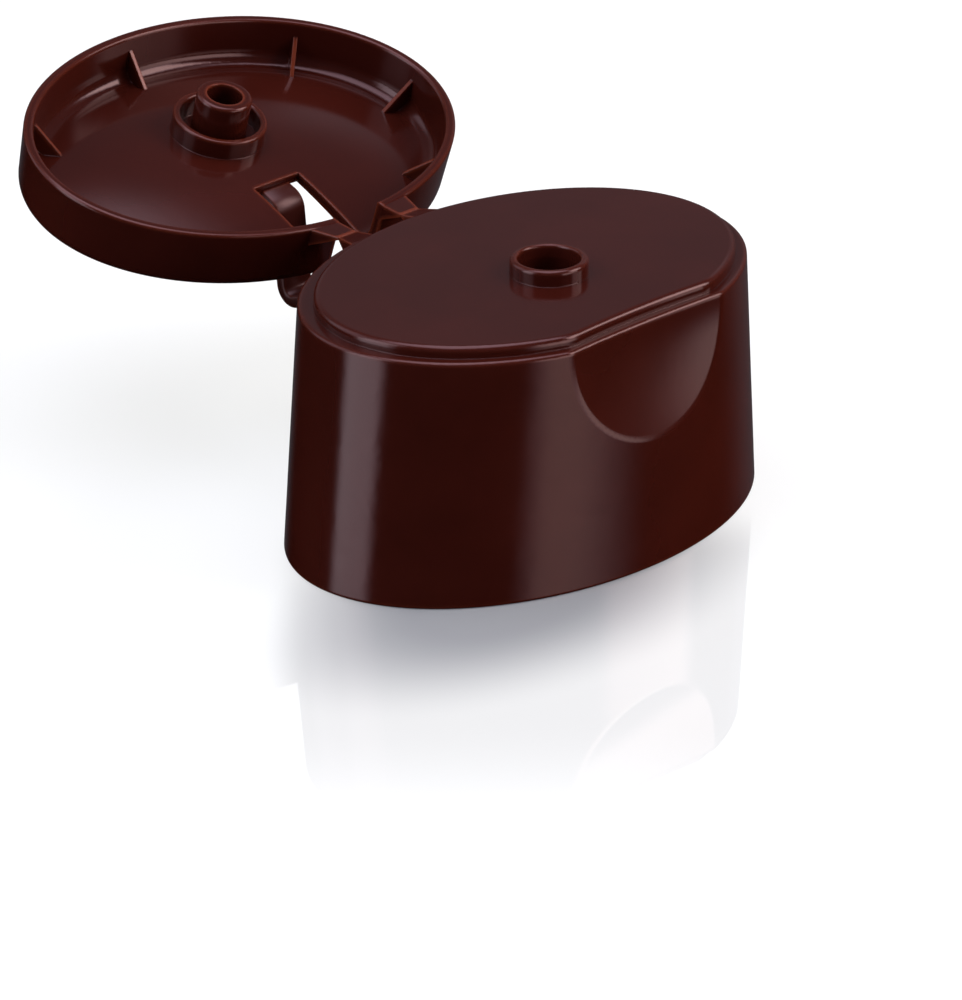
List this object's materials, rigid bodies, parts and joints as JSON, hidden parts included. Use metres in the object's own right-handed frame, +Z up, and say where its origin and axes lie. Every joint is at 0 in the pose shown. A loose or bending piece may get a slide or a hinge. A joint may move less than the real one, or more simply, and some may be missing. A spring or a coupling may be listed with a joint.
{
  "type": "flip top dispensing cap",
  "caption": "Oval flip top cap, open: tall skirt with thumb scoop, raised deck with spout, dished lid with plug and gussets on two film hinge straps, bent spring leaf.",
  "frame": {"origin": "centre of the base plane, on the neck bore's axis at its mouth", "axes": "+Z up from the base to the deck, +Y towards the film hinge and the open lid, -Y towards the thumb scoop, X across the oval's width"},
  "size_m": [0.057, 0.082, 0.0367],
  "materials": {
    "cap_plastic": "glossy dark red-brown polypropylene"
  },
  "bodies": {
    "base": {"cap_body": "cap_plastic", "spring_leaf": "cap_plastic"},
    "lid": {"lid": "cap_plastic"}
  },
  "joints": [
    {"name": "lid_hinge", "type": "hinge", "parent": "base", "child": "lid", "pos_m": [0, 0.02128, 0.02582], "axis": [1, 0, 0], "range_deg": [0, 163.86], "deforming": ["spring_leaf"]}
  ]
}
